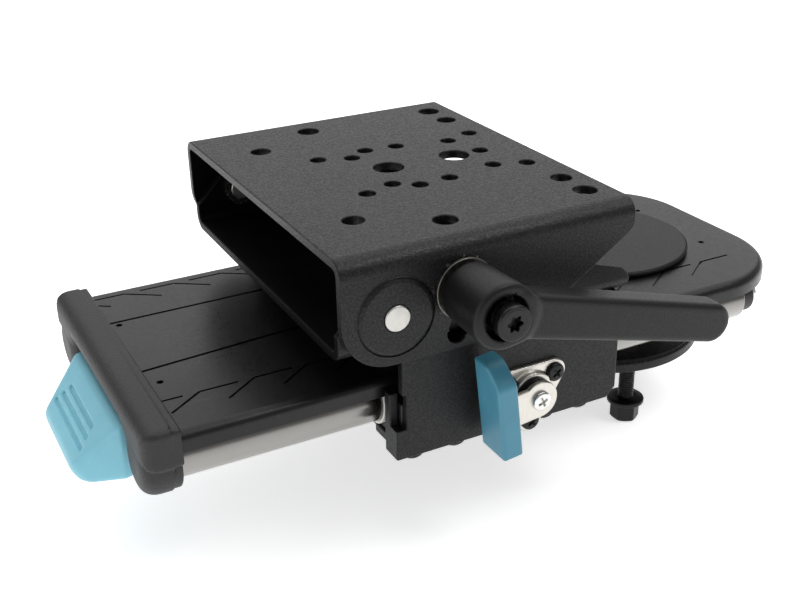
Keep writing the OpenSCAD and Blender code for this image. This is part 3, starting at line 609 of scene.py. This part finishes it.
def base_bolt(x, y, z):
    """Hexagon flange bolt about its own axis, with a cut thread up to the base plate."""
    pitch, thread_r, thread_depth, thread_z, collar_r = 1.0, 2.98, 0.42, (-17.5, -0.3), 3.6
    flange_r, flange_z, flange_slope, slope_r = 7.0, (-18.2, -16.2), 0.13, 4.6
    half_flats, corner_r, chamfer, chamfer_r = 4.85, 5.55, 0.4, 4.2
    dish_r, dish_depth = 3.4, 0.5
    r, a = np.hypot(x, y), np.arctan2(y, x)
    crest = np.abs((z / pitch + a / (2 * math.pi)) % 1.0 - 0.5) * 2
    thread = r - thread_r + thread_depth * (1 - crest) * (z < thread_z[1])
    shank = np.maximum(thread, np.maximum(z - BOLT_TOP_Z, thread_z[0] - z))
    collar = np.maximum(r - collar_r, np.abs(z - BOLT_TOP_Z / 2) - BOLT_TOP_Z / 2)
    flange = meet(r - flange_r, z - flange_z[1] + flange_slope * np.maximum(r - slope_r, 0), 0.5)
    flange = meet(flange, flange_z[0] - z, 0.5)
    sides = [np.cos(k * math.pi / 3) * x + np.sin(k * math.pi / 3) * y for k in range(6)]
    head = np.max(sides, axis=0) - half_flats
    head = meet(head, BOLT_END_Z - z + chamfer * np.maximum(r - chamfer_r, 0), 0.5)
    head = meet(meet(head, z + 17, 0.4), r - corner_r, 0.3)
    head = cut(head, np.maximum(r - dish_r, z - BOLT_END_Z - dish_depth), 0.3)
    return np.minimum(np.minimum(shank, collar), join(flange, head, 0.8))


# name, shape, low and high corner of its box, mesh step, body, look, slot, the CAD nodes it stands for
pieces = [
    ("end_cap_shell", end_cap, (CAP_X[0], -CAP_HALF_Y, ROD[1] - CAP_LOBE_R), (CAP_X[1], CAP_HALF_Y, 38),
     0.62, "arm", "cap", "soft_cap", ["end_cap"]),
    ("pull_handle_grip", pull_handle, (GRIP_X[0], -GRIP_HALF_Y, 6), (GRIP_X[1], GRIP_HALF_Y, 27), 0.48,
     "swivel_release", "blue", "blue_plastic", ["pivot_handle"]),
    ("slide_lever_pad", slide_pad, (-99.5, PAD_Y[0], 12), (-86.5, PAD_Y[1], 46.5), 0.36,
     "lever", "blue_painted_shade", "blue_plastic", ["slide_lever"]),
    ("clamp_lever", clamp_handle, (-110.2, HUB_Y[0], 36.5), (-14.5, HUB_Y[1], 76.8), 0.55,
     "clamp_grip", "casting", "handle_coat", ["clamp_handle"]),
    ("clamp_socket_screw", clamp_screw, (-105.3, SCREW_TOP_Y, 61), (-94.3, -73.8, 72), 0.2,
     "clamp", "black_steel", "black_oxide", ["clamp_screw"]),
    ("lock_flange_plate", lock_flange, (-88.5, BOSS_Y, 8), (-59, -WALL_Y, 33), 0.3,
     "carriage", "stamped", "zinc", ["lock_flange"]),
    ("lever_flat", lever_plate, (-92, LEVER_Y[0], 15), (-67.2, LEVER_Y[1], 29.5), 0.24,
     "lever", "stamped", "zinc", ["lever_plate"]),
    ("lever_pan_screw", lever_screw, (-77.1, -71.7, 19.4), (-70.3, -68.3, 26.2), 0.13,
     "lever", "zinc", "zinc", ["lever_screw"]),
]
for piece in pieces:
    carve(*piece)


def carve_set(name, shape, low, high, step, body, node, spots):
    """Carves one black screw and puts it, or a linked copy, at each spot (mm)."""
    slot = "black_oxide"
    first, *others = [Matrix.Translation(Vector(spot) * MM) for spot in spots]
    screw = carve(f"{name}_1", shape, low, high, step, body, "black_steel", slot, [node])
    screw.matrix_world = first
    for k, at in enumerate(others, start=2):
        place(f"{name}_{k}", screw.data, body, at=at)


flange_spots = [(x, -WALL_Y, z) for x, z in on_circle(FLANGE_SCREW_R, FLANGE_SCREW_DEGREES, LOCK)]
carve_set("flange_screw", flange_screw, (-3.3, -3.6, -3.3), (3.3, 0, 3.3), 0.15,
          "carriage", "lock_flange_screws", flange_spots)
bolt_spots = [(x, y, 0) for x, y in on_circle(BASE_BOLT_R, BASE_BOLT_DEGREES)]
carve_set("flange_bolt", base_bolt, (-7, -7, BOLT_END_Z), (7, 7, BOLT_TOP_Z), 0.24,
          "base", "base_bolts", bolt_spots)


# ---------- floor, light and camera ----------

FLOOR_HALF, FLOOR_GAP = 40.0, 0.0002  # metres

ground = cad_low.z - FLOOR_GAP
corners = [(FLOOR_HALF * u, FLOOR_HALF * v) for u, v in ((-1, -1), (1, -1), (1, 1), (-1, 1))]
floor_mesh = bpy.data.meshes.new("floor")
floor_mesh.from_pydata([(x, y, ground) for x, y in corners], [], [(0, 1, 2, 3)])
floor = bpy.data.objects.new("floor", floor_mesh)
scene.collection.objects.link(floor)
paper = Look("pale_floor", Specular_IOR_Level=0.1, Emission_Color=(1, 1, 1, 1), Emission_Strength=0.6)
paper.to("Base Color", paper.blend(paper.noise(3.0), grey(0.90), grey(0.92)))
paper.to("Roughness", paper.swing(paper.noise(40), 0.9, 0.97))
floor_mesh.materials.append(paper.material)


def softbox(name, at, size, power):
    """A rectangular light that faces the middle of the object."""
    middle = Vector((-0.08, 0.0, 0.03))
    data = bpy.data.lights.new(name, "AREA")
    data.shape = "RECTANGLE"
    data.size, data.size_y = size
    data.energy = power
    obj = bpy.data.objects.new(name, data)
    scene.collection.objects.link(obj)
    obj.location = at
    obj.rotation_euler = (middle - Vector(at)).to_track_quat("-Z", "Y").to_euler()


softbox("overhead", (0.1, 0.35, 1.35), (2.4, 1.8), 18.5)
softbox("behind", (0.75, 1.55, 0.75), (2.4, 1.0), 6)
softbox("left", (-1.6, -0.2, 0.5), (0.9, 0.9), 5)
softbox("front", (0.40, -0.50, 0.95), (0.5, 0.3), 3.5)

world = bpy.data.worlds.new("studio")
scene.world = world
world.use_nodes = True
background = world.node_tree.nodes["Background"]
background.inputs["Color"].default_value = (1, 1, 1, 1)
background.inputs["Strength"].default_value = 0.38

# The camera, fitted to the photograph: its focal length (mm), its place (m) and its right, up and back axes
lens = bpy.data.cameras.new("camera")
lens.sensor_width = 36
lens.lens = 51.18
lens.clip_start, lens.clip_end = 0.01, 50
camera = bpy.data.objects.new("camera", lens)
scene.collection.objects.link(camera)
eye = (-0.25430, -0.32423, 0.20705)
axes = [Vector(axis).normalized() for axis in ((0.8847, -0.4659, -0.0163), (0.2149, 0.3764, 0.9012),
                                               (-0.4138, -0.8008, 0.4331))]
camera.matrix_world = Matrix.Translation(eye) @ Matrix(axes).transposed().to_4x4()
scene.camera = camera
scene.view_settings.view_transform = "Standard"
